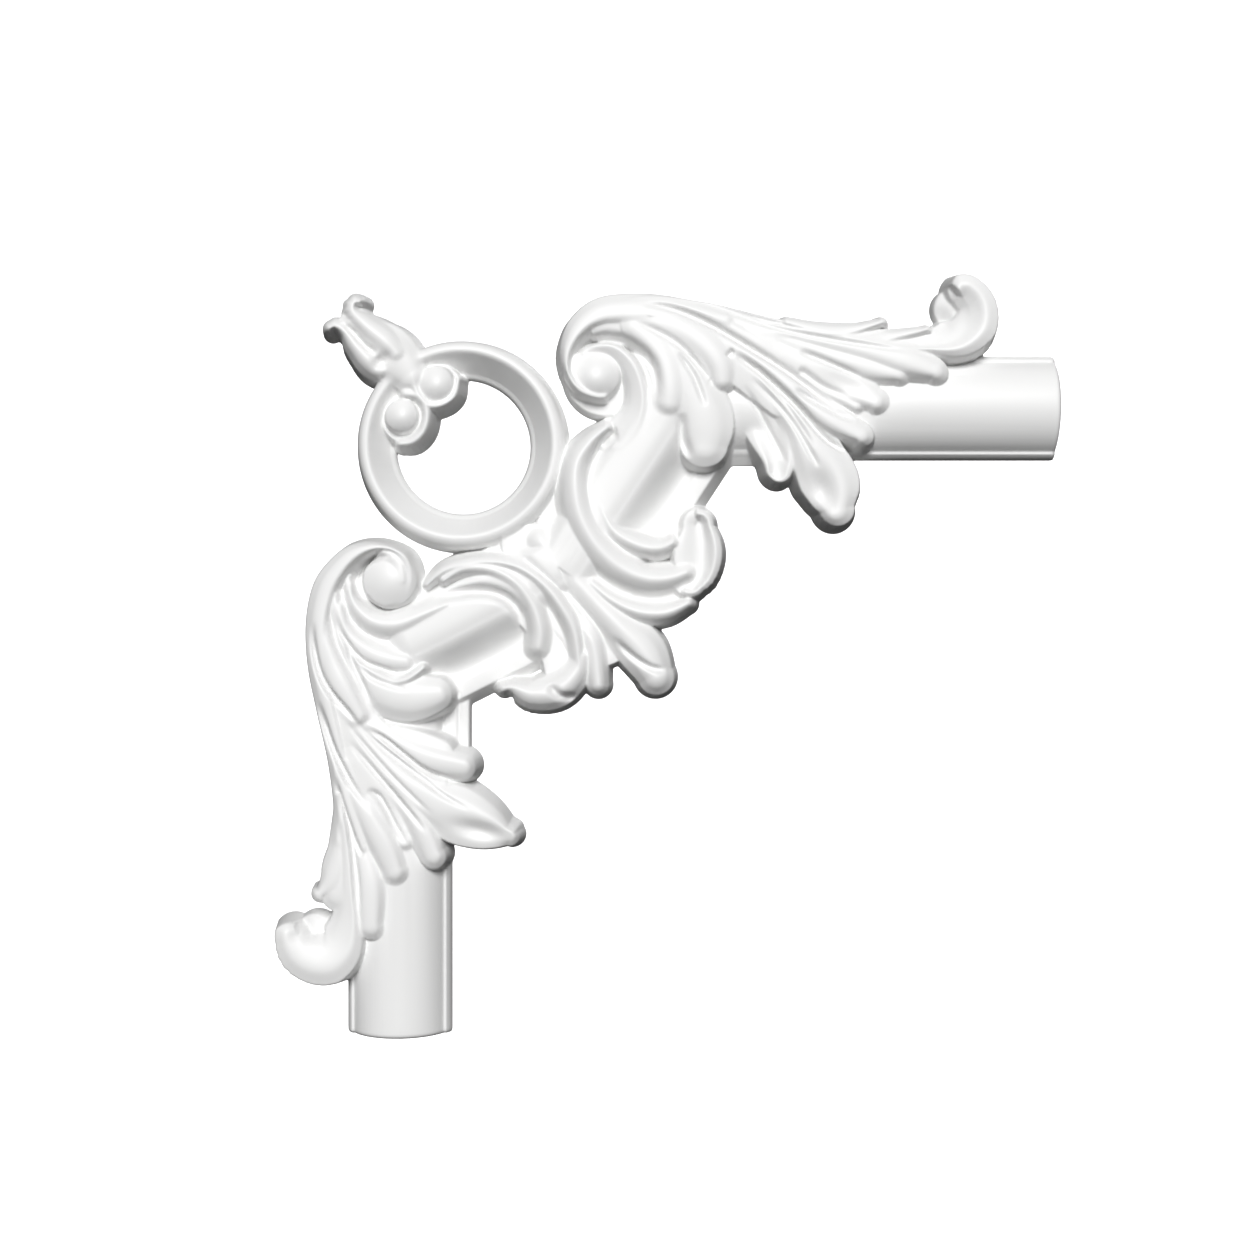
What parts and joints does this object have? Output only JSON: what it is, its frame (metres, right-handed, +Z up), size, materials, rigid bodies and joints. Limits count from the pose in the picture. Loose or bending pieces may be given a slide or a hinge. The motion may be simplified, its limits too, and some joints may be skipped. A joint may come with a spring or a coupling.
{
  "type": "moulding corner",
  "caption": "Carved corner piece for a wall moulding: the run turns inwards round an open ring, under acanthus leaves, scrolls and volutes.",
  "frame": {"origin": "on the flat back that lies on the wall, behind the middle leaf of the corner", "axes": "+Z up the wall, +X to the right along the wall, +Y into the wall; the carving faces -Y"},
  "size_m": [0.2953, 0.0208, 0.2889],
  "materials": {
    "primed_white": "smooth cast, factory primed white, satin matt"
  },
  "bodies": {
    "root": {"moulding_corner": "primed_white"}
  },
  "joints": []
}
